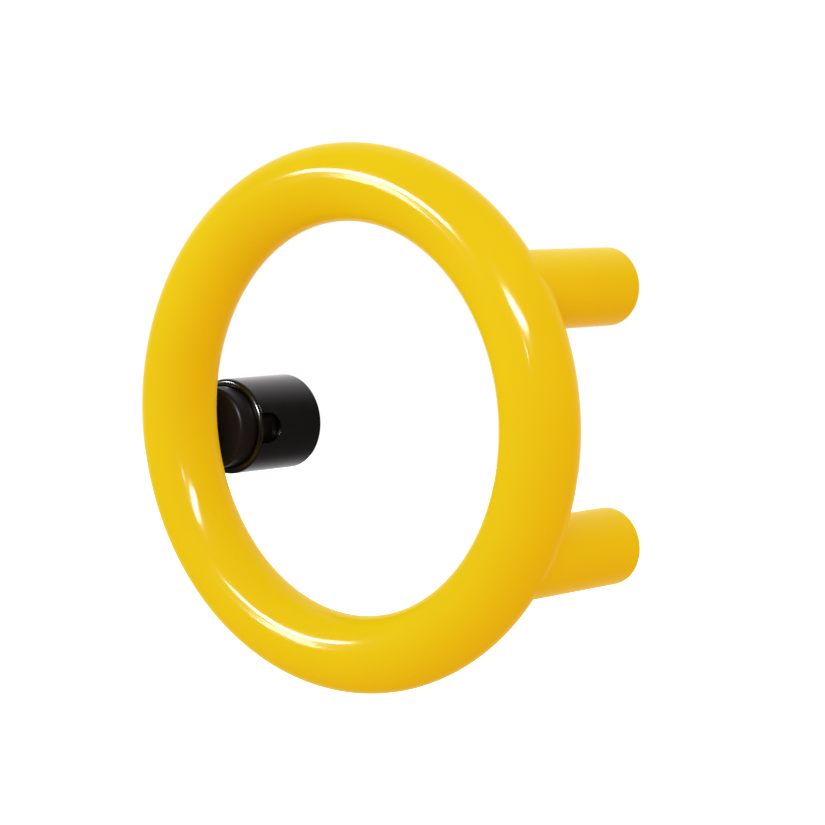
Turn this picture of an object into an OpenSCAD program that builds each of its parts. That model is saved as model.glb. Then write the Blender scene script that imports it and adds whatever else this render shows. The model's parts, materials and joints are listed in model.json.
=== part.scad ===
// Wall-mounted ring handle: a nylon-sleeved ring on two posts, facing a sprung gate post.
// Everything is drawn in a wall frame (x right, y up, z out of the wall) and then stood up,
// so that in the finished part +Z is up, +Y points into the wall and the wall face is y = 0.

/* [Ring] */
// Diameter of the ring's centre line
ring_pitch_d = 200; // [170:5:300]
// Outside diameter of the ring's tube and of its posts
tube_d = 33; // [31:0.5:36]
// Thickness of the coloured nylon sleeve
sleeve_wall = 3.5; // [3:0.25:4]
// Thickness of the steel core tube
core_wall = 3; // [2:0.25:3.5]
// Wall face to the ring's centre plane
standoff = 70; // [66:1:110]

/* [Posts] */
// Distance between the two post axes
post_spacing = 110; // [60:5:140]
// Diameter of the hole for the wall screw
wall_screw_d = 9; // [6:0.5:10]
// Diameter of the spigot that a post is pushed onto
spigot_d = 19.8; // [19:0.2:20.4]
// How far the spigot's tip stands off the wall
spigot_reach = 20; // [18:1:22]
// Thickness of the rubber gaskets at the wall
gasket_t = 1.5; // [0.5:0.25:2]

/* [Gate post] */
// How far below the ring's horizontal the gate post stands, in degrees round the ring
gate_drop_angle = 5.5; // [0:0.5:12]
// Outside diameter of the gate post
gate_d = 43.2; // [42:0.2:48]
// Thickness of the gate post's sleeve
gate_wall = 1.8; // [1.4:0.1:2.2]
// Diameter of the sprung buffer
buffer_d = 36.7; // [35:0.1:37]
// Radial gap between the buffer and the bezel's bore
buffer_gap = 0.35; // [0.3:0.05:0.6]
// How far the buffer stands out of the bezel
buffer_proud = 9.5; // [8.5:0.25:12]
// Gap between the ring and the buffer at rest
gate_gap = 3.5; // [1:0.25:5]
// How far the buffer can be pressed in
gate_travel = 8; // [4:0.5:8]
// Width of the release notch in the sleeve
notch_w = 13.8; // [8:0.2:16]
// Depth of the release notch, back from the bezel
notch_depth = 11.5; // [8:0.5:13]
// Distance between the gate post's two fixing holes
gate_hole_spacing = 30; // [29:0.5:30]
// Diameter of the gate post's fixing holes
gate_hole_d = 5.5; // [4:0.1:5.6]

/* [Hidden] */
$fn = 96;

yellow = [0.93, 0.73, 0.05];
black = [0.06, 0.06, 0.065];
rubber = [0.12, 0.11, 0.12];
steel = [0.72, 0.73, 0.75];
zinc = [0.62, 0.64, 0.66];
bronze = [0.72, 0.55, 0.30];

// Clearances
slip = 0.1;   // between pieces pushed or dropped together
seat = 0.15;  // between a steel core and the nylon drawn over it
thread = 0.05; // between a screw and its tapped hole
bolt_run = 0.2; // between a bolt and the holes that it passes through
run = 0.3;    // between a sliding piece and its guide
shoulder_run = 0.05; // between the shoulder bolt and its bush
over = 1;     // how far a cut runs past the face that it opens

// Ring
ring_r = ring_pitch_d / 2;
tube_r = tube_d / 2;
hollow_r = tube_r - sleeve_wall;
core_r = hollow_r - seat;
core_hollow_r = core_r - core_wall;

// Post fasteners, M8
bolt_r = 4;
bolt_head_r = 6.5;
bolt_head_h = 8;
bolt_hex = 6;
washer_r = 7;
washer_t = 1.8;

// Post stack, as heights above the wall
boss_r = 8;
boss_weld = 1.1;                                    // how far a boss stands proud of the ring core
boss_z = standoff - core_r - boss_weld;
boss_reach = 3;                                     // how far a boss runs past the tube's centre
flange_t = 3;                                       // the wall base's flange
flange_z = gasket_t + flange_t;
socket_z = spigot_reach + 0.5;                      // floor of the post core's socket
washer_seat_z = socket_z + 11.3;                    // floor of the bolt head's counterbore
bolt_tip_z = standoff;
post_neck_r = 9;                                    // the post core's neck, inside the ring's sleeve
post_neck_z = standoff - tube_r - 3.5;
saddle_z = standoff - 4;                            // the post sleeve's saddle ends blunt here
spigot_r = spigot_d / 2;
spigot_bore_r = spigot_r - 2.1;
spigot_floor_z = 9;
grub_z = flange_z + 7.5;                            // the grub screw's axis
grub_r = 3;
groove_depth = 1.5;

// Positions round the ring
post_x = sqrt(pow(ring_r, 2) - pow(post_spacing / 2, 2));
post_y = post_spacing / 2;
gate_x = -ring_r * cos(gate_drop_angle);
gate_y = -ring_r * sin(gate_drop_angle);

// Gate post
gate_r = gate_d / 2;
gate_bore_r = gate_r - gate_wall;
buffer_r = buffer_d / 2;
bezel_bore_r = buffer_r + buffer_gap;
buffer_z = standoff - tube_r - gate_gap;            // front face of the buffer
bezel_z = buffer_z - buffer_proud;                  // front face of the bezel
lip_r = 1.9;                                        // rounding of the bezel's lip
gate_sleeve_h = bezel_z - lip_r;
skirt_r = gate_bore_r - slip;
skirt_z = gate_sleeve_h - 6.6;
wiper_r = skirt_r + 0.1;
wiper_t = 1.1;
wiper_z = gate_sleeve_h + 0.2;
base_r = gate_bore_r - slip;
base_z = gasket_t + 8;
pillar_r = 7;                                       // the base's centre pillar
pillar_z = base_z + 2.5;
gate_grub_r = 2;
gate_grub_z = gasket_t + 4;
gate_grub_in = 12;                                  // how far from the axis its tapped hole starts

// Plunger
floor_z = buffer_z - 18;                            // the shoulder bolt's head rests here
guide_z = floor_z - 4;                              // underside of the guide flange
guide_t = 3;
guide_r = gate_bore_r - run;
hub_z = pillar_z + gate_travel + 1;
hub_r = 7.8;
bush_r = 6;
shoulder_r = 4;
gate_head_r = 6.5;
gate_head_h = 5.5;
head_room_r = 7.2;
cap_z = buffer_z - 14;                              // the rubber cap starts here
cap_boss_r = 12;
cap_boss_z = buffer_z - 6;
cap_roof_z = buffer_z - 3.5;
cap_edge = 1.5;                                     // rounding of the cap's front edge
cap_rib = 0.6;                                      // snap rib that holds the cap on
cap_rib_z = cap_z + 3;
cap_rib_h = 2;

// Spring
wire_r = 0.8;
coil_r = 9.6;
coil_turns = 5;
coil_steps = 24;                                    // rings in one turn
wire_sides = 8;

// Stands the wall frame up.
module wall_frame() {
    rotate([90, 0, 0]) children();
}

// Puts its children on a post's axis, in the wall frame. side is 1 for upper, -1 for lower.
module at_post(side) {
    wall_frame() translate([post_x, side * post_y, 0]) children();
}

module at_gate() {
    wall_frame() translate([gate_x, gate_y, 0]) children();
}

// A solid torus on the ring's centre line, in the wall frame.
module ring_torus(r) {
    translate([0, 0, standoff]) rotate_extrude() translate([ring_r, 0]) circle(r = r);
}

// A disc or tube between two heights.
module tube(r, z0, z1, bore = 0) {
    difference() {
        translate([0, 0, z0]) cylinder(r = r, h = z1 - z0);
        if (bore > 0) translate([0, 0, z0 - over]) cylinder(r = bore, h = z1 - z0 + 2 * over);
    }
}

// A hexagon socket of the given width across flats, cut from its low end upwards.
module hex_socket(across, depth) {
    cylinder(r = across / sqrt(3), h = depth, $fn = 6);
}

// A hole that runs straight down from an axis, at height z, from radius r0 to r1.
module down_hole(r, z, r0, r1) {
    translate([0, -r0, z]) rotate([90, 0, 0]) cylinder(r = r, h = r1 - r0);
}

// Points of a quarter circle about (cx, cy), from its outer side to its top.
function quarter(cx, cy, r, n = 10) = [for (i = [0:n]) [cx + r * cos(90 * i / n), cy + r * sin(90 * i / n)]];

module ring_sleeve() {
    color(yellow) wall_frame() difference() {
        ring_torus(tube_r);
        ring_torus(hollow_r);
        for (side = [1, -1]) translate([post_x, side * post_y, 0])
            tube(post_neck_r + slip, post_neck_z, standoff);
    }
}

module ring_core() {
    color(steel) wall_frame() difference() {
        ring_torus(core_r);
        ring_torus(core_hollow_r);
        for (side = [1, -1]) translate([post_x, side * post_y, 0])
            tube(boss_r + thread, boss_z - over, standoff);
    }
}

module ring_boss() {
    color(steel) difference() {
        tube(boss_r, boss_z, standoff + boss_reach);
        tube(bolt_r + thread, boss_z - over, bolt_tip_z + over);
    }
}

module post_sleeve(side) {
    color(yellow) difference() {
        tube(tube_r, 0, saddle_z, hollow_r);
        translate([-post_x, -side * post_y, 0]) ring_torus(tube_r + thread);
        down_hole(grub_r + run, grub_z, hollow_r - over, tube_r + over);
    }
}

module post_core() {
    color(steel) difference() {
        union() {
            tube(core_r, flange_z + slip, post_neck_z);
            tube(post_neck_r, post_neck_z - over, boss_z);
        }
        tube(spigot_r + slip, 0, socket_z);
        tube(washer_r + slip, 0, washer_seat_z);
        tube(bolt_r + bolt_run, 0, boss_z + over);
        down_hole(grub_r + thread, grub_z, spigot_r - over, core_r + over);
    }
}

module post_bolt() {
    head_z = washer_seat_z - washer_t;
    color(steel) difference() {
        union() {
            tube(bolt_head_r, head_z - bolt_head_h, head_z);
            tube(bolt_r, head_z - over, bolt_tip_z);
        }
        translate([0, 0, head_z - bolt_head_h - over]) hex_socket(bolt_hex, bolt_head_h / 2 + over);
    }
}

module bolt_washer() {
    color(zinc) tube(washer_r, washer_seat_z - washer_t, washer_seat_z, bolt_r + bolt_run);
}

// The spigot has a V-groove, so that the grub screw draws the post against the wall.
module wall_base() {
    color(zinc) difference() {
        union() {
            tube(core_r, gasket_t, flange_z);
            tube(spigot_r, flange_z - over, spigot_reach);
        }
        tube(wall_screw_d / 2, 0, spigot_floor_z + over);
        tube(spigot_bore_r, spigot_floor_z, spigot_reach + over);
        translate([0, 0, grub_z]) rotate_extrude() polygon([
            [spigot_r - groove_depth, -groove_depth / 2],
            [spigot_r + over, -grub_r - over / 2],
            [spigot_r + over, grub_r + over / 2],
            [spigot_r - groove_depth, groove_depth / 2]
        ]);
    }
}

module wall_gasket() {
    color(rubber) tube(core_r, 0, gasket_t, wall_screw_d / 2);
}

module grub_screw() {
    tip = spigot_r - groove_depth + slip;
    cone = 2.2;
    head = tube_r - 1.9;
    color(steel) translate([0, -tip, grub_z]) rotate([90, 0, 0]) difference() {
        union() {
            cylinder(r1 = groove_depth / 2, r2 = grub_r, h = cone);
            translate([0, 0, cone]) cylinder(r = grub_r, h = head - tip - cone);
        }
        translate([0, 0, head - tip - 2.5]) hex_socket(3, 2.5 + over);
    }
}

// The round-ended notch at the front edge of the gate post's sleeve, facing the ring's centre.
module release_notch() {
    end_z = gate_sleeve_h - notch_depth + notch_w / 2;
    translate([gate_bore_r / 2, 0, 0]) intersection() {
        union() {
            translate([0, 0, end_z]) rotate([0, 90, 0]) cylinder(r = notch_w / 2, h = gate_r);
            translate([0, -notch_w / 2, end_z]) cube([gate_r, notch_w, notch_w]);
        }
        translate([0, -notch_w, 0]) cube([gate_r, 2 * notch_w, gate_sleeve_h]);
    }
}

module gate_sleeve() {
    color(black) difference() {
        tube(gate_r, 0, gate_sleeve_h, gate_bore_r);
        release_notch();
        down_hole(gate_grub_r + slip, gate_grub_z, gate_bore_r - over, gate_r + over);
    }
}

module gate_bezel() {
    color(black) difference() {
        rotate_extrude() polygon(concat(
            [[bezel_bore_r, skirt_z], [skirt_r, skirt_z], [skirt_r, gate_sleeve_h]],
            quarter(gate_r - lip_r, gate_sleeve_h, lip_r),
            [[bezel_bore_r, bezel_z]]
        ));
        tube(wiper_r, wiper_z, wiper_z + wiper_t);
        release_notch();
    }
}

module gate_wiper() {
    color(rubber) tube(wiper_r, wiper_z, wiper_z + wiper_t, buffer_r + buffer_gap * 0.75);
}

module gate_base() {
    color(zinc) difference() {
        union() {
            tube(base_r, gasket_t, base_z);
            tube(pillar_r, base_z - over, pillar_z);
        }
        tube(3 + thread, gasket_t - over, pillar_z + over);
        for (side = [1, -1]) translate([side * gate_hole_spacing / 2, 0, 0])
            tube(gate_hole_d / 2, 0, base_z + over);
        down_hole(gate_grub_r + thread, gate_grub_z, gate_grub_in, base_r + over);
    }
}

module gate_gasket() {
    color(rubber) difference() {
        tube(base_r, 0, gasket_t);
        for (side = [1, -1]) translate([side * gate_hole_spacing / 2, 0, 0])
            tube(gate_hole_d / 2, -over, gasket_t + over);
    }
}

// Backed out of the base until it stands in the sleeve's hole.
module gate_grub_screw() {
    tail = gate_grub_in + 1;
    head = gate_r - 0.4;
    color(steel) translate([0, -tail, gate_grub_z]) rotate([90, 0, 0]) difference() {
        cylinder(r = gate_grub_r, h = head - tail);
        translate([0, 0, head - tail - 2]) hex_socket(2, 2 + over);
    }
}

module gate_shoulder_bolt() {
    color(steel) difference() {
        union() {
            tube(3, gasket_t + 1, pillar_z + over);
            tube(shoulder_r, pillar_z, floor_z + over);
            tube(gate_head_r, floor_z, floor_z + gate_head_h);
        }
        translate([0, 0, floor_z + gate_head_h - 3]) hex_socket(4, 3 + over);
    }
}

// Height of the spring's centre line after a share s of its turns. The end turns lie flat.
function coil_z(s) =
    let (dead = 0.75 / coil_turns, low = base_z + wire_r, high = guide_z - wire_r)
    s < dead ? low : s > 1 - dead ? high :
    low + (high - low) * (s - dead) / (1 - 2 * dead);

// One ring of the wire's section, in the plane that holds the axis.
function wire_ring(i) =
    let (s = i / (coil_turns * coil_steps), a = 360 * coil_turns * s)
    [for (k = [0:wire_sides - 1])
        let (b = 360 * (k + 0.5) / wire_sides, r = coil_r + wire_r * cos(b))
        [r * cos(a), r * sin(a), coil_z(s) + wire_r * sin(b)]];

module gate_spring() {
    count = coil_turns * coil_steps + 1;
    points = [for (i = [0:count - 1]) each wire_ring(i)];
    sides = [for (i = [0:count - 2]) for (k = [0:wire_sides - 1])
        let (a = i * wire_sides, n = (k + 1) % wire_sides)
        [a + k, a + n, a + wire_sides + n, a + wire_sides + k]];
    ends = [
        [for (k = [wire_sides - 1:-1:0]) k],
        [for (k = [0:wire_sides - 1]) (count - 1) * wire_sides + k]
    ];
    color(steel) polyhedron(points = points, faces = concat(sides, ends));
}

module plunger_carrier() {
    color(black) difference() {
        union() {
            tube(hub_r, hub_z, guide_z + over);
            tube(guide_r, guide_z, guide_z + guide_t);
            tube(buffer_r, guide_z, cap_z);
            tube(cap_boss_r, guide_z, cap_boss_z);
            tube(cap_boss_r + cap_rib, cap_rib_z, cap_rib_z + cap_rib_h);
        }
        tube(bush_r, hub_z - over, floor_z + over);
        tube(head_room_r, floor_z, cap_boss_z + over);
    }
}

module plunger_bush() {
    color(bronze) tube(bush_r, hub_z, floor_z, shoulder_r + shoulder_run);
}

module buffer_cap() {
    color(rubber) difference() {
        rotate_extrude() polygon(concat(
            [[0, cap_z], [buffer_r, cap_z]],
            quarter(buffer_r - cap_edge, buffer_z - cap_edge, cap_edge),
            [[0, buffer_z]]
        ));
        tube(cap_boss_r + thread, cap_z - over, cap_boss_z + thread);
        tube(cap_boss_r + cap_rib + thread, cap_rib_z - thread, cap_rib_z + cap_rib_h + thread);
        tube(head_room_r, cap_boss_z, cap_roof_z);
    }
}

ring_sleeve();
ring_core();
at_post(1) ring_boss();  // upper_boss
at_post(-1) ring_boss();  // lower_boss
at_post(1) post_sleeve(1);  // upper_post_sleeve
at_post(-1) post_sleeve(-1);  // lower_post_sleeve
at_post(1) post_core();  // upper_post_core
at_post(-1) post_core();  // lower_post_core
at_post(1) post_bolt();  // upper_post_bolt
at_post(-1) post_bolt();  // lower_post_bolt
at_post(1) bolt_washer();  // upper_bolt_washer
at_post(-1) bolt_washer();  // lower_bolt_washer
at_post(1) wall_base();  // upper_wall_base
at_post(-1) wall_base();  // lower_wall_base
at_post(1) grub_screw();  // upper_grub_screw
at_post(-1) grub_screw();  // lower_grub_screw
at_post(1) wall_gasket();  // upper_wall_gasket
at_post(-1) wall_gasket();  // lower_wall_gasket
at_gate() gate_sleeve();
at_gate() gate_bezel();
at_gate() gate_wiper();
at_gate() gate_base();
at_gate() gate_gasket();
at_gate() gate_grub_screw();
at_gate() gate_shoulder_bolt();
at_gate() gate_spring();
at_gate() plunger_carrier();
at_gate() plunger_bush();
at_gate() buffer_cap();
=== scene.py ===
import json
import math

import bmesh
import bpy
from mathutils import Matrix, Vector

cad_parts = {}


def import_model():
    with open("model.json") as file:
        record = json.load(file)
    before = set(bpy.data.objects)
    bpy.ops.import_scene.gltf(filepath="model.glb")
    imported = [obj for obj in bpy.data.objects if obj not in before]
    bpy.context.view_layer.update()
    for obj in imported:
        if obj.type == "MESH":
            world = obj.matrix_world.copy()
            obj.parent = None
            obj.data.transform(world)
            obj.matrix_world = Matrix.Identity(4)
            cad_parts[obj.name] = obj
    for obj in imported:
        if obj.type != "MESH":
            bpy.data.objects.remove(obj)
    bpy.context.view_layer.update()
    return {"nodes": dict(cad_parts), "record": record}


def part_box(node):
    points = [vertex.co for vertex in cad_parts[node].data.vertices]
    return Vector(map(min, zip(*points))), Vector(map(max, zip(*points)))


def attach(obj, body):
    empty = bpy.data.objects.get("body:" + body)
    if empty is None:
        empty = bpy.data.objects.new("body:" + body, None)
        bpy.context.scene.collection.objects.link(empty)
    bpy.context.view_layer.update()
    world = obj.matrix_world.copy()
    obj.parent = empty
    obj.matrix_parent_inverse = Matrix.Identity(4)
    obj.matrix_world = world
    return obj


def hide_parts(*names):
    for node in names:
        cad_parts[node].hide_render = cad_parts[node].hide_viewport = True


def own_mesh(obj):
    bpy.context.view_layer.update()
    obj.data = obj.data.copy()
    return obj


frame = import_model()
MM = 0.001
X, Y = 0, 1


# ---------------------------------------------------------------- sizes, from the frame

def middle(node):
    """The centre of a CAD node's box."""
    low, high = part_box(node)
    return (low + high) / 2


def span(node, axis):
    """The length of a CAD node's box along an axis."""
    low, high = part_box(node)
    return high[axis] - low[axis]


ring_low, ring_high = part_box("ring_sleeve")
TUBE_R = (ring_high.y - ring_low.y) / 2
RING_Y = (ring_high.y + ring_low.y) / 2
RING_R = ring_high.x - TUBE_R
CORE_CLEARANCE = 0.15 * MM
BORE_R = span("ring_core", Y) / 2 + CORE_CLEARANCE

POSTS = {name: middle(name) for name in ("upper_post_sleeve", "lower_post_sleeve")}
POST_R = span("upper_post_sleeve", X) / 2

GATE = middle("gate_sleeve")
GATE_R = span("gate_sleeve", X) / 2
BASE_CLEARANCE = 0.1 * MM
GATE_BORE_R = span("gate_base", X) / 2 + BASE_CLEARANCE
GATE_FRONT = -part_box("gate_sleeve")[0].y
BEZEL_FRONT = -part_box("gate_bezel")[0].y
SKIRT_BACK = -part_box("gate_bezel")[1].y
BUFFER_R = span("buffer_cap", X) / 2
BUFFER_FRONT = -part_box("buffer_cap")[0].y
BUFFER_BACK = -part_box("buffer_cap")[1].y
BUFFER_CLEARANCE = 0.35 * MM
BEZEL_BORE_R = BUFFER_R + BUFFER_CLEARANCE
NOTCH_W = 13.8 * MM
NOTCH_DEPTH = 11.5 * MM


# ---------------------------------------------------------------- mesh helpers

def on_wall(centre, across, up, out):
    """A point given by its place across, up and out from a post's axis at the wall."""
    return Vector((centre.x + across, -out, centre.z + up))


def mesh_object(name, vertices, faces, smooth=True):
    """A new object, with all its faces turned outwards."""
    mesh = bpy.data.meshes.new(name)
    mesh.from_pydata([tuple(v) for v in vertices], [], faces)
    mesh.validate()
    made = bmesh.new()
    made.from_mesh(mesh)
    bmesh.ops.recalc_face_normals(made, faces=made.faces)
    made.to_mesh(mesh)
    made.free()
    for polygon in mesh.polygons:
        polygon.use_smooth = smooth
    obj = bpy.data.objects.new(name, mesh)
    bpy.context.scene.collection.objects.link(obj)
    return obj


def grid_faces(rows, columns, first=0, wrap_rows=False):
    """Quads between rows of points that each close on themselves. Wrapped rows close too."""
    faces = []
    for i in range(rows if wrap_rows else rows - 1):
        for j in range(columns):
            a = first + i * columns + j
            b = first + i * columns + (j + 1) % columns
            c = first + ((i + 1) % rows) * columns + (j + 1) % columns
            d = first + ((i + 1) % rows) * columns + j
            faces.append((a, b, c, d))
    return faces


def rounded(corners, steps):
    """An outline of (radius, height, rounding) corners, each rounded with an arc."""
    points = []
    count = len(corners)
    for i, (r, h, rounding) in enumerate(corners):
        here = Vector((r, h))
        if rounding <= 0:
            points.append(here)
            continue
        before = (Vector(corners[i - 1][:2]) - here).normalized()
        after = (Vector(corners[(i + 1) % count][:2]) - here).normalized()
        half = math.acos(max(-1, min(1, before.dot(after)))) / 2
        reach = rounding / math.tan(half)
        centre = here + (before + after).normalized() * (rounding / math.sin(half))
        start = here + before * reach - centre
        end = here + after * reach - centre
        turn = start.angle_signed(end)
        for k in range(steps + 1):
            points.append(centre + Matrix.Rotation(-turn * k / steps, 2) @ start)
    return points


def lathe(name, centre, corners, steps=6):
    """A closed turned piece about a post's axis. Corners are (radius, height off the wall, rounding)."""
    segments = 320
    least_radius = 1e-9
    outline = rounded(corners, steps)
    on_axis = [point.x < least_radius for point in outline]
    vertices = []
    rows = []
    for point, pole in zip(outline, on_axis):
        count = 1 if pole else segments
        rows.append(range(len(vertices), len(vertices) + count))
        for j in range(count):
            turn = 2 * math.pi * j / segments
            vertices.append(on_wall(centre, point.x * math.cos(turn), point.x * math.sin(turn), point.y))
    faces = []
    for i, row in enumerate(rows):
        following = rows[(i + 1) % len(rows)]
        follows_to_axis = on_axis[(i + 1) % len(rows)]
        if on_axis[i] and follows_to_axis:
            continue
        for j in range(segments):
            k = (j + 1) % segments
            if on_axis[i]:
                faces.append((row[0], following[k], following[j]))
            elif follows_to_axis:
                faces.append((row[j], row[k], following[0]))
            else:
                faces.append((row[j], row[k], following[k], following[j]))
    return mesh_object(name, vertices, faces)


def cut(obj, cutter):
    """Takes the cutter's solid out of a piece."""
    modifier = obj.modifiers.new("cut", "BOOLEAN")
    modifier.operation = "DIFFERENCE"
    modifier.solver = "EXACT"
    modifier.object = cutter
    depsgraph = bpy.context.evaluated_depsgraph_get()
    mesh = bpy.data.meshes.new_from_object(obj.evaluated_get(depsgraph))
    obj.modifiers.clear()
    obj.data = mesh
    bpy.data.objects.remove(cutter)


def soften(obj, wanted, width):
    """Rounds the sharp edges for which wanted(middle of the edge) is true."""
    sharp = math.radians(40)
    steps = 3
    made = bmesh.new()
    made.from_mesh(obj.data)
    edges = []
    for edge in made.edges:
        halfway = (edge.verts[0].co + edge.verts[1].co) / 2
        if len(edge.link_faces) == 2 and edge.calc_face_angle() > sharp and wanted(halfway):
            edges.append(edge)
    bmesh.ops.bevel(made, geom=edges, offset=width, segments=steps, profile=0.5,
                    affect="EDGES", clamp_overlap=True)
    made.to_mesh(obj.data)
    made.free()


def turned_normals(obj, centre, radius):
    """Gives the faces that lie on a post's round side the normals of a true cylinder."""
    off_side = 0.03 * MM
    squarely = 0.999
    mesh = obj.data
    normals = [Vector(n.vector) for n in mesh.corner_normals]
    for polygon in mesh.polygons:
        off_axis = Vector((polygon.center.x - centre.x, 0, polygon.center.z - centre.z))
        if abs(off_axis.length - radius) > off_side:
            continue
        if polygon.normal.dot(off_axis.normalized()) < squarely:
            continue
        for loop in polygon.loop_indices:
            at = mesh.vertices[mesh.loops[loop].vertex_index].co
            normals[loop] = Vector((at.x - centre.x, 0, at.z - centre.z)).normalized()
    mesh.normals_split_custom_set(normals)
    return obj


def pin(name, axis, start, radius, length):
    """A plain round cutter along an axis."""
    segments = 64
    turn = axis.to_track_quat("Z", "Y").to_matrix()
    vertices = []
    for reach in (0, length):
        for j in range(segments):
            a = 2 * math.pi * j / segments
            vertices.append(start + turn @ Vector((radius * math.cos(a), radius * math.sin(a), reach)))
    faces = grid_faces(2, segments)
    faces.append(tuple(range(segments)))
    faces.append(tuple(range(segments, 2 * segments)))
    return mesh_object(name, vertices, faces)


def crisp(obj):
    """Smooth shading that keeps the sharper edges."""
    sharp = math.radians(35)
    bpy.context.view_layer.objects.active = obj
    for other in bpy.context.selected_objects:
        other.select_set(False)
    obj.select_set(True)
    bpy.ops.object.shade_smooth_by_angle(angle=sharp, keep_sharp_edges=True)
    return obj


# ---------------------------------------------------------------- ring and posts

def ring_sleeve():
    """The ring's hollow sleeve: an outer and an inner torus."""
    vertices = []
    faces = []
    for radius, around, across in ((TUBE_R, 512, 128), (BORE_R, 192, 48)):
        first = len(vertices)
        for i in range(around):
            turn = 2 * math.pi * i / around
            for j in range(across):
                roll = 2 * math.pi * j / across
                out = RING_R + radius * math.cos(roll)
                depth = RING_Y + radius * math.sin(roll)
                vertices.append(Vector((out * math.cos(turn), depth, out * math.sin(turn))))
        faces += grid_faces(around, across, first, wrap_rows=True)
    return mesh_object("ring_sleeve_moulding", vertices, faces)


def off_ring(point):
    """Distance from a point to the ring's outer surface, and the direction away from it."""
    flat = Vector((point.x, 0, point.z))
    core = flat.normalized() * RING_R + Vector((0, RING_Y, 0))
    away = point - core
    return away.length - TUBE_R, away.normalized()


def ball_seat(centre, turn, radius, fillet):
    """Height off the wall at which a ball that rolls up the post's side touches the ring."""
    halvings = 50
    low, high = 0.0, -RING_Y
    side = Vector((math.cos(turn), 0, math.sin(turn))) * (radius + fillet)
    for _ in range(halvings):
        mid = (low + high) / 2
        gap, _away = off_ring(Vector((centre.x, -mid, centre.z)) + side)
        if gap > fillet:
            low = mid
        else:
            high = mid
    return low


def post_sleeve(name, centre):
    """A post's tube, with a fillet that runs out on the ring's surface."""
    segments = 256
    rim_steps, side_steps, fillet_steps = 4, 8, 10
    fillet = 2.2 * MM
    rim = 0.35 * MM
    skirt = 1.5 * MM
    sink = 0.12 * MM
    bore_margin = 1 * MM
    screw_clearance = 0.25 * MM
    least_turn = 1e-4
    foot = Vector((centre.x, 0, centre.z))

    def place(ray, radius, out):
        """A point on a ray from the post's axis, at a height off the wall."""
        return foot + ray * radius - Vector((0, out, 0))

    columns = []
    for j in range(segments):
        turn = 2 * math.pi * j / segments
        ray = Vector((math.cos(turn), 0, math.sin(turn)))
        seat = ball_seat(centre, turn, POST_R, fillet)
        ball = place(ray, POST_R + fillet, seat)
        _gap, away = off_ring(ball)
        to_post = -ray
        to_ring = -away
        column = [place(ray, BORE_R, 0), place(ray, POST_R - rim, 0)]
        for k in range(1, rim_steps + 1):
            lean = math.pi / 2 * k / rim_steps
            column.append(place(ray, POST_R - rim + rim * math.sin(lean), rim * (1 - math.cos(lean))))
        for k in range(1, side_steps):
            column.append(place(ray, POST_R, rim + (seat - rim) * k / side_steps))
        turns = to_post.angle(to_ring) > least_turn
        for k in range(fillet_steps + 1):
            towards = to_post.slerp(to_ring, k / fillet_steps) if turns else to_post
            column.append(ball + towards * fillet)
        # past the fillet, the outline dips under the ring's surface
        inward = (to_post - away * to_post.dot(away)).normalized()
        column.append(column[-1] + inward * skirt - away * sink)
        inner_seat = min(ball_seat(centre, turn, BORE_R, 0), seat)
        column.append(place(ray, BORE_R, inner_seat - bore_margin))
        columns.append(column)
    rows = len(columns[0])
    vertices = [columns[j][i] for i in range(rows) for j in range(segments)]
    obj = mesh_object(name + "_moulding", vertices, grid_faces(rows, segments, wrap_rows=True))
    screw = name.replace("post_sleeve", "grub_screw")
    return screw_hole(obj, centre, POST_R, BORE_R, screw, screw_clearance)


def screw_hole(obj, centre, outer_r, bore_r, screw, clearance):
    """Cuts the hole to a grub screw, underneath a sleeve, and rounds its mouth."""
    past_wall = 1 * MM
    near_side = 0.2 * MM
    mouth_slack = 1.05
    rounding = 0.3 * MM
    at = middle(screw)
    radius = span(screw, X) / 2 + clearance
    start = Vector((centre.x, at.y, centre.z - bore_r + past_wall))
    down = Vector((0, 0, -1))
    cut(obj, pin(screw + "_cutter", down, start, radius, outer_r - bore_r + 2 * past_wall))

    def at_mouth(point):
        off_axis = math.hypot(point.x - centre.x, point.z - centre.z)
        off_hole = math.hypot(point.x - centre.x, point.y - at.y)
        underneath = point.z < centre.z
        return underneath and off_hole < radius * mouth_slack and off_axis > outer_r - near_side

    soften(obj, at_mouth, rounding)
    crisp(obj)
    return turned_normals(obj, centre, outer_r)


# ---------------------------------------------------------------- gate post

def notch_cutter():
    """The release notch: a slot with a half-round end, through the side towards the ring's centre."""
    steps = 40
    past_side = 2 * MM
    half = NOTCH_W / 2
    end = GATE_FRONT - NOTCH_DEPTH + half
    outline = [(-half, GATE_FRONT), (half, GATE_FRONT)]
    for k in range(steps + 1):
        turn = math.pi * k / steps
        outline.append((half * math.cos(turn), end - half * math.sin(turn)))
    vertices = []
    for across in (GATE_R / 2, GATE_R + past_side):
        vertices += [on_wall(GATE, across, up, out) for up, out in outline]
    count = len(outline)
    faces = grid_faces(2, count)
    faces.append(tuple(range(count)))
    faces.append(tuple(range(count, 2 * count)))
    return mesh_object("notch_cutter", vertices, faces)


def near_notch(point):
    """True at the notch's mouth on the round side of the gate post."""
    off_axis = math.hypot(point.x - GATE.x, point.z - GATE.z)
    on_side = point.x > GATE.x and off_axis > GATE_R - 0.2 * MM
    across = abs(point.z - GATE.z) < NOTCH_W / 2 + 0.1 * MM
    along = -point.y > GATE_FRONT - NOTCH_DEPTH - 1 * MM
    return on_side and across and along


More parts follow.
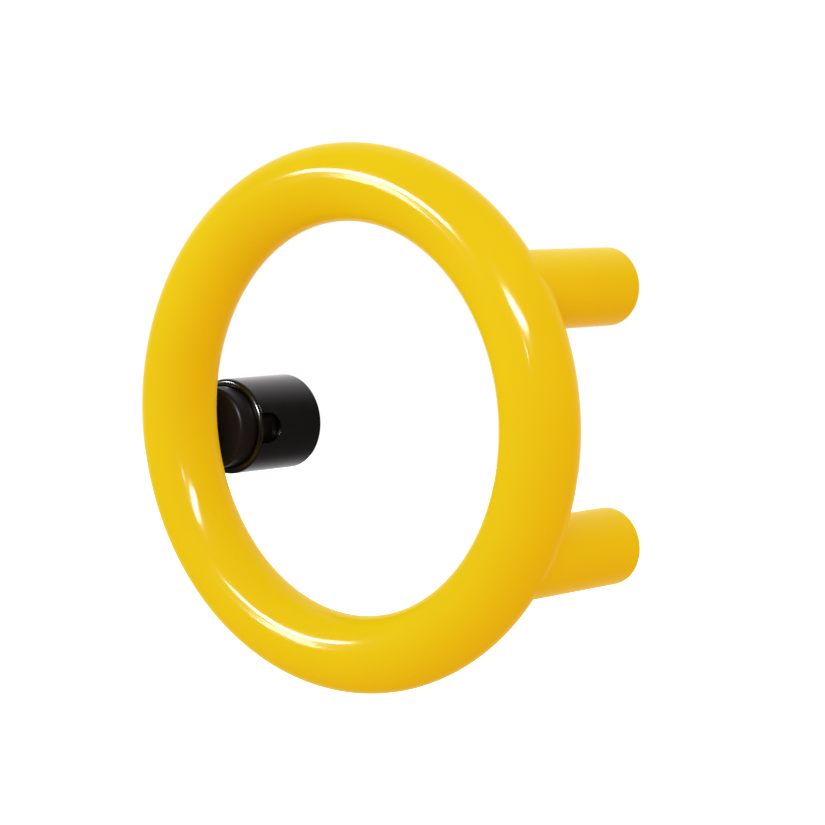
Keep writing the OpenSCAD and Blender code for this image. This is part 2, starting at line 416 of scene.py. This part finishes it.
def gate_sleeve():
    """The gate post's tube, with its notch and its screw hole."""
    notch_rounding = 0.35 * MM
    screw_clearance = 0.1 * MM
    obj = lathe("gate_sleeve_moulding", GATE, [
        (GATE_BORE_R, 0, 0.2 * MM),
        (GATE_R, 0, 0.3 * MM),
        (GATE_R, GATE_FRONT / 2, 0),
        (GATE_R, GATE_FRONT, 0.1 * MM),
        (GATE_BORE_R, GATE_FRONT, 0.1 * MM),
    ])
    cut(obj, notch_cutter())
    soften(obj, near_notch, notch_rounding)
    return screw_hole(obj, GATE, GATE_R, GATE_BORE_R, "gate_grub_screw", screw_clearance)


def gate_bezel():
    """The rounded lip in front of the sleeve, its skirt inside the sleeve, and the wiper's groove."""
    lip = 1.9 * MM
    lip_flat = 0.15 * MM
    seam = 0.03 * MM
    groove_width = 1.2 * MM
    groove_depth = 0.85 * MM
    wiper_clearance = 0.02 * MM
    skirt_clearance = 0.1 * MM
    groove_r = BEZEL_BORE_R + groove_depth
    skirt_r = GATE_BORE_R - skirt_clearance
    groove_back = -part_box("gate_wiper")[1].y - wiper_clearance
    groove_front = groove_back + groove_width
    obj = lathe("gate_bezel_moulding", GATE, [
        (BEZEL_BORE_R, SKIRT_BACK, 0.15 * MM),
        (skirt_r, SKIRT_BACK, 0.15 * MM),
        (skirt_r, GATE_FRONT, 0),
        (GATE_R, GATE_FRONT + seam, 0.12 * MM),
        (GATE_R, BEZEL_FRONT, lip - lip_flat),
        (BEZEL_BORE_R, BEZEL_FRONT, 0.3 * MM),
        (BEZEL_BORE_R, groove_front, 0),
        (groove_r, groove_front, 0),
        (groove_r, groove_back, 0),
        (BEZEL_BORE_R, groove_back, 0),
    ], steps=12)
    cut(obj, notch_cutter())
    return crisp(obj)


def buffer_cap():
    """The round nose: a rounded edge, a barely crowned face and a back hollowed for carrier and bolt."""
    edge = 2.0 * MM
    crown = 0.15 * MM
    # the carrier's boss and its snap rib fill the hollow, and the bolt's head has room under the roof
    boss_r = 12 * MM
    boss = BUFFER_FRONT - 6 * MM
    rib_r = boss_r + 0.6 * MM
    rib = BUFFER_BACK + 3 * MM
    rib_top = rib + 2 * MM
    head_room_r = 7.2 * MM
    roof = BUFFER_FRONT - 3.5 * MM
    obj = lathe("buffer_cap_moulding", GATE, [
        (0, roof, 0),
        (head_room_r, roof, 0.3 * MM),
        (head_room_r, boss, 0),
        (boss_r, boss, 0),
        (boss_r, rib_top, 0),
        (rib_r, rib_top, 0),
        (rib_r, rib, 0),
        (boss_r, rib, 0),
        (boss_r, BUFFER_BACK, 0.2 * MM),
        (BUFFER_R, BUFFER_BACK, 0.3 * MM),
        (BUFFER_R, BUFFER_FRONT - crown, edge),
        (BUFFER_R / 2, BUFFER_FRONT - crown / 3, 0),
        (0, BUFFER_FRONT, 0),
    ], steps=14)
    return crisp(obj)


def gate_spring():
    """The coil spring, built at one fixed length: round wire whose end turns lie flat."""
    wire_r = 0.8 * MM
    coil_r = 9.6 * MM
    turns = 5
    flat = 0.75
    easing = 0.15
    rings_per_turn = 64
    sides = 16
    foot = -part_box("gate_spring")[1].y + wire_r
    head = -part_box("gate_spring")[0].y - wire_r
    rings = turns * rings_per_turn + 1
    vertices = []
    for i in range(rings):
        turned = i / rings_per_turn
        share = max(0.0, min(1.0, (turned - flat) / (turns - 2 * flat)))
        eased = (1 - easing) * share + easing * share * share * (3 - 2 * share)
        for k in range(sides):
            roll = 2 * math.pi * k / sides
            out = coil_r + wire_r * math.cos(roll)
            up = foot + (head - foot) * eased + wire_r * math.sin(roll)
            turn = 2 * math.pi * turned
            vertices.append(on_wall(GATE, out * math.cos(turn), out * math.sin(turn), up))
    faces = grid_faces(rings, sides)
    faces.append(tuple(range(sides)))
    faces.append(tuple(range((rings - 1) * sides, rings * sides)))
    return crisp(mesh_object("gate_spring_wire", vertices, faces))


# ---------------------------------------------------------------- materials

class Nodes:
    """A small helper that builds one material's node tree."""

    def __init__(self, name):
        self.material = bpy.data.materials.new(name)
        self.material.use_nodes = True
        self.tree = self.material.node_tree
        self.shader = self.tree.nodes["Principled BSDF"]
        self.place = self.add("ShaderNodeTexCoord").outputs["Object"]

    def add(self, kind, **settings):
        """A new node, with its sockets or settings given by name."""
        node = self.tree.nodes.new(kind)
        for key, value in settings.items():
            if key in node.inputs:
                node.inputs[key].default_value = value
            else:
                setattr(node, key, value)
        return node

    def link(self, source, target):
        self.tree.links.new(source, target)

    def noise(self, scale, detail, stretch=(1, 1, 1)):
        """Noise that is fixed to the object."""
        mapping = self.add("ShaderNodeMapping")
        mapping.inputs["Scale"].default_value = stretch
        self.link(self.place, mapping.inputs["Vector"])
        return self.noise_at(mapping.outputs["Vector"], scale, detail)

    def noise_at(self, place, scale, detail):
        """Noise at given coordinates."""
        texture = self.add("ShaderNodeTexNoise", Scale=scale, Detail=detail)
        self.link(place, texture.inputs["Vector"])
        return texture.outputs["Fac"]

    def along_ring(self, along):
        """Coordinates that change fully across the ring's tube and slowly along it, with no seam."""
        split = self.add("ShaderNodeSeparateXYZ")
        self.link(self.place, split.inputs["Vector"])
        flat = self.add("ShaderNodeCombineXYZ")
        self.link(split.outputs["X"], flat.inputs["X"])
        self.link(split.outputs["Z"], flat.inputs["Z"])
        length = self.add("ShaderNodeVectorMath", operation="LENGTH")
        self.link(flat.outputs["Vector"], length.inputs[0])
        tube = self.add("ShaderNodeCombineXYZ")
        self.link(length.outputs["Value"], tube.inputs["X"])
        self.link(split.outputs["Y"], tube.inputs["Y"])
        turn = self.add("ShaderNodeVectorMath", operation="NORMALIZE")
        self.link(flat.outputs["Vector"], turn.inputs[0])
        slowed = self.add("ShaderNodeVectorMath", operation="SCALE")
        slowed.inputs["Scale"].default_value = along
        self.link(turn.outputs["Vector"], slowed.inputs[0])
        total = self.add("ShaderNodeVectorMath", operation="ADD")
        self.link(tube.outputs["Vector"], total.inputs[0])
        self.link(slowed.outputs["Vector"], total.inputs[1])
        return total.outputs["Vector"]

    def ramp(self, value, low, high):
        """A colour between two, for the middle part of a noise's range."""
        node = self.add("ShaderNodeValToRGB")
        for element, position, colour in zip(node.color_ramp.elements, (0.3, 0.7), (low, high)):
            element.position = position
            element.color = (*colour, 1)
        self.link(value, node.inputs["Fac"])
        return node.outputs["Color"]

    def remap(self, value, low, high):
        """A number between two, for a noise from 0 to 1."""
        node = self.add("ShaderNodeMapRange")
        node.inputs["To Min"].default_value = low
        node.inputs["To Max"].default_value = high
        self.link(value, node.inputs["Value"])
        return node.outputs["Result"]

    def bump(self, value, distance, below=None):
        """A bumped normal, on top of another one if it is given."""
        node = self.add("ShaderNodeBump", Strength=1.0, Distance=distance)
        self.link(value, node.inputs["Height"])
        if below is not None:
            self.link(below, node.inputs["Normal"])
        return node.outputs["Normal"]

    def set(self, **values):
        """Sets the shader's own sockets, named with _ for each space."""
        for name, value in values.items():
            self.shader.inputs[name.replace("_", " ")].default_value = value


def linear(red, green, blue):
    """Display values from 0 to 255 as linear light, by the sRGB curve."""
    def one(value):
        value = value / 255
        return value / 12.92 if value <= 0.04045 else ((value + 0.055) / 1.055) ** 2.4
    return (one(red), one(green), one(blue))


def yellow_nylon():
    """Glossy coated yellow, with fine streaks drawn along the ring and a faint grain."""
    streak_depth = 0.06 * MM
    grain_depth = 0.003 * MM
    m = Nodes("yellow nylon")
    cloud = m.noise(scale=9, detail=2)
    m.link(m.ramp(cloud, linear(232, 186, 13), linear(237, 194, 17)), m.shader.inputs["Base Color"])
    handled = m.noise(scale=60, detail=4)
    m.link(m.remap(handled, low=0.17, high=0.25), m.shader.inputs["Roughness"])
    drawn = m.noise_at(m.along_ring(0.006), scale=330, detail=1)
    streaks = m.bump(drawn, streak_depth)
    grain = m.noise(scale=700, detail=3)
    m.link(m.bump(grain, grain_depth, below=streaks), m.shader.inputs["Normal"])
    m.set(IOR=1.4, Specular_IOR_Level=0.0, Coat_Weight=0.28, Coat_Roughness=0.125, Coat_IOR=1.5)
    m.set(Sheen_Weight=0.25, Sheen_Roughness=0.3, Sheen_Tint=(1.0, 0.9, 0.08, 1.0))
    m.link(streaks, m.shader.inputs["Coat Normal"])
    return m.material


def black_nylon():
    """Glossy black, with a slight wave and a faint grain."""
    wave_depth = 0.03 * MM
    grain_depth = 0.004 * MM
    m = Nodes("black nylon")
    cloud = m.noise(scale=40, detail=3)
    m.link(m.ramp(cloud, linear(4, 3, 4), linear(9, 8, 9)), m.shader.inputs["Base Color"])
    handled = m.noise(scale=150, detail=4)
    m.link(m.remap(handled, low=0.16, high=0.26), m.shader.inputs["Roughness"])
    wave = m.bump(m.noise(scale=60, detail=1), wave_depth)
    grain = m.noise(scale=1500, detail=3)
    m.link(m.bump(grain, grain_depth, below=wave), m.shader.inputs["Normal"])
    m.set(IOR=1.5)
    return m.material


def soft_black(name, dark, light, rough, ior=1.3):
    """Rubber or acetal: satin to matt, with a fine grain."""
    grain_depth = 0.01 * MM
    uneven = 0.08
    m = Nodes(name)
    cloud = m.noise(scale=120, detail=4)
    m.link(m.ramp(cloud, linear(*dark), linear(*light)), m.shader.inputs["Base Color"])
    handled = m.noise(scale=300, detail=4)
    m.link(m.remap(handled, rough - uneven, rough + uneven), m.shader.inputs["Roughness"])
    grain = m.noise(scale=2500, detail=4)
    m.link(m.bump(grain, grain_depth), m.shader.inputs["Normal"])
    m.set(IOR=ior)
    return m.material


def metal(name, dark, light, rough, stretch=(1, 1, 1)):
    """Bare metal, with a grain that can be drawn out along an axis."""
    grain_depth = 0.01 * MM
    uneven = 0.06
    m = Nodes(name)
    cloud = m.noise(scale=900, detail=4, stretch=stretch)
    m.link(m.ramp(cloud, linear(*dark), linear(*light)), m.shader.inputs["Base Color"])
    brushed = m.noise(scale=450, detail=3, stretch=stretch)
    m.link(m.remap(brushed, rough - uneven, rough + uneven), m.shader.inputs["Roughness"])
    grain = m.noise(scale=1800, detail=3, stretch=stretch)
    m.link(m.bump(grain, grain_depth), m.shader.inputs["Normal"])
    m.set(Metallic=1.0)
    return m.material


MATERIALS = {
    "yellow_nylon": yellow_nylon(),
    "black_nylon": black_nylon(),
    "black_acetal": soft_black("black acetal", (5, 5, 6), (10, 10, 11), rough=0.38),
    "buffer_rubber": soft_black("buffer rubber", (24, 20, 25), (31, 27, 32), rough=0.36, ior=1.22),
    "seal_rubber": soft_black("seal rubber", (24, 24, 25), (40, 39, 40), rough=0.7),
    "core_steel": metal("core steel", (150, 150, 154), (190, 190, 194), rough=0.32, stretch=(1, 0.1, 1)),
    "bright_steel": metal("bright steel", (175, 177, 182), (214, 216, 220), rough=0.24),
    "spring_steel": metal("spring steel", (110, 110, 116), (150, 150, 156), rough=0.3),
    "cast_aluminium": metal("cast aluminium", (150, 152, 156), (186, 188, 192), rough=0.42),
    "bronze": metal("sintered bronze", (150, 112, 62), (190, 146, 88), rough=0.45),
}


def paint(obj, slot_name):
    """Gives a piece the material of its slot."""
    obj.data.materials.clear()
    obj.data.materials.append(MATERIALS[slot_name])


def stand_for(obj, node, body, slot_name):
    """Puts a detailed piece in place of one CAD node."""
    paint(obj, slot_name)
    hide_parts(node)
    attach(obj, body)
    return obj


# ---------------------------------------------------------------- build

slot_of = {part["node"]: part["material_slot"] for part in frame["record"]["subparts"]}
for node_name, cad_node in frame["nodes"].items():
    paint(cad_node, slot_of[node_name])
    crisp(cad_node)

stand_for(ring_sleeve(), "ring_sleeve", "fixed", "yellow_nylon")
for post_name, post_centre in POSTS.items():
    stand_for(post_sleeve(post_name, post_centre), post_name, "fixed", "yellow_nylon")
stand_for(gate_sleeve(), "gate_sleeve", "fixed", "black_nylon")
stand_for(gate_bezel(), "gate_bezel", "fixed", "black_nylon")
stand_for(buffer_cap(), "buffer_cap", "plunger", "buffer_rubber")
spring = stand_for(gate_spring(), "gate_spring", "fixed", "spring_steel")
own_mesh(spring)


# ---------------------------------------------------------------- stage, light and camera

def floor():
    """A plain pale floor far below the object. It doesn't light the object or show in its gloss."""
    half = 6.0
    level = -0.75
    corners = [(-half, -half, level), (half, -half, level), (half, half, level), (-half, half, level)]
    obj = mesh_object("floor", corners, [(0, 1, 2, 3)], smooth=False)
    m = Nodes("floor")
    cloud = m.noise(scale=2, detail=2)
    m.link(m.ramp(cloud, (0.93, 0.93, 0.93), (0.95, 0.95, 0.95)), m.shader.inputs["Base Color"])
    m.set(Roughness=0.9, Emission_Color=(1, 1, 1, 1), Emission_Strength=1.0)
    obj.data.materials.append(m.material)
    obj.visible_diffuse = False
    obj.visible_glossy = False


def heading(azimuth, elevation):
    """A direction by its angle from the front, -Y, towards +X, and its angle up."""
    a = math.radians(azimuth)
    e = math.radians(elevation)
    return Vector((math.sin(a) * math.cos(e), -math.cos(a) * math.cos(e), math.sin(e)))


def softbox(name, azimuth, elevation, wide, tall, radiance, shape="RECTANGLE"):
    """A far light, sized by the angles that it fills as seen from the ring. It only makes highlights."""
    distance = 4.0
    light = bpy.data.lights.new(name, "AREA")
    light.shape = shape
    light.size = 2 * distance * math.tan(math.radians(wide / 2))
    light.size_y = 2 * distance * math.tan(math.radians(tall / 2))
    fill = math.pi / 4 if shape == "ELLIPSE" else 1.0
    light.energy = radiance * math.pi * light.size * light.size_y * fill
    obj = bpy.data.objects.new(name, light)
    bpy.context.scene.collection.objects.link(obj)
    away = heading(azimuth, elevation)
    obj.location = Vector((0, RING_Y, 0)) + away * distance
    obj.rotation_euler = away.to_track_quat("Z", "Y").to_euler()
    obj.visible_diffuse = False


def glow(tree, towards, low, high, start=-1.0):
    """Light from all round, in one colour until it nears a direction, where it runs to another."""
    place = tree.nodes.new("ShaderNodeTexCoord").outputs["Generated"]
    along = tree.nodes.new("ShaderNodeVectorMath")
    along.operation = "DOT_PRODUCT"
    along.inputs[1].default_value = towards
    tree.links.new(place, along.inputs[0])
    share = tree.nodes.new("ShaderNodeMapRange")
    share.inputs["From Min"].default_value = start
    tree.links.new(along.outputs["Value"], share.inputs["Value"])
    colour = tree.nodes.new("ShaderNodeMix")
    colour.data_type = "RGBA"
    colour.inputs["A"].default_value = (*low, 1)
    colour.inputs["B"].default_value = (*high, 1)
    tree.links.new(share.outputs["Result"], colour.inputs["Factor"])
    background = tree.nodes.new("ShaderNodeBackground")
    tree.links.new(colour.outputs["Result"], background.inputs["Color"])
    return background.outputs["Background"]


def world():
    """White behind the object, a warm-to-cool glow that lights it and a dimmer room for it to mirror."""
    scene_world = bpy.data.worlds.new("studio")
    bpy.context.scene.world = scene_world
    scene_world.use_nodes = True
    scene_world.cycles.sampling_method = "NONE"
    tree = scene_world.node_tree
    backdrop = tree.nodes["Background"]
    backdrop.inputs["Color"].default_value = (1, 1, 1, 1)
    backdrop.inputs["Strength"].default_value = 1.02
    lit = glow(tree, heading(-62, 52), low=(0.95, 0.68, 0.40), high=(1.13, 1.42, 1.20))
    mirrored = glow(tree, heading(-146, 12), low=(0.11, 0.10, 0.10), high=(1.35, 1.3, 1.3),
                    start=0.46)
    ray = tree.nodes.new("ShaderNodeLightPath")
    surface = backdrop.outputs["Background"]
    for kind, light in (("Is Glossy Ray", mirrored), ("Is Diffuse Ray", lit)):
        pick = tree.nodes.new("ShaderNodeMixShader")
        tree.links.new(ray.outputs[kind], pick.inputs["Fac"])
        tree.links.new(surface, pick.inputs[1])
        tree.links.new(light, pick.inputs[2])
        surface = pick.outputs["Shader"]
    tree.links.new(surface, tree.nodes["World Output"].inputs["Surface"])


def camera():
    """Looks at the object from its right, a little from above, on a long lens."""
    azimuth, elevation, roll = 39.43, 4.336, -0.523
    data = bpy.data.cameras.new("camera")
    data.sensor_width = 36
    data.lens = 122.08
    obj = bpy.data.objects.new("camera", data)
    bpy.context.scene.collection.objects.link(obj)
    obj.location = (0.7687, -0.9632, 0.0919)
    forward = -heading(azimuth, elevation)
    level = forward.to_track_quat("-Z", "Y").to_matrix()
    tilt = Matrix.Rotation(math.radians(roll), 3, "Z")
    obj.rotation_euler = (level @ tilt).to_euler()
    bpy.context.scene.camera = obj


floor()
world()
softbox("key", azimuth=-34, elevation=27, wide=32, tall=6.5, radiance=105)
softbox("key_drop", azimuth=-35, elevation=16, wide=10, tall=10, radiance=60)
softbox("fill", azimuth=32, elevation=28, wide=26, tall=8.5, radiance=105, shape="ELLIPSE")
softbox("spark", azimuth=26, elevation=15.5, wide=4, tall=2, radiance=100)
camera()
bpy.context.scene.view_settings.view_transform = "Standard"
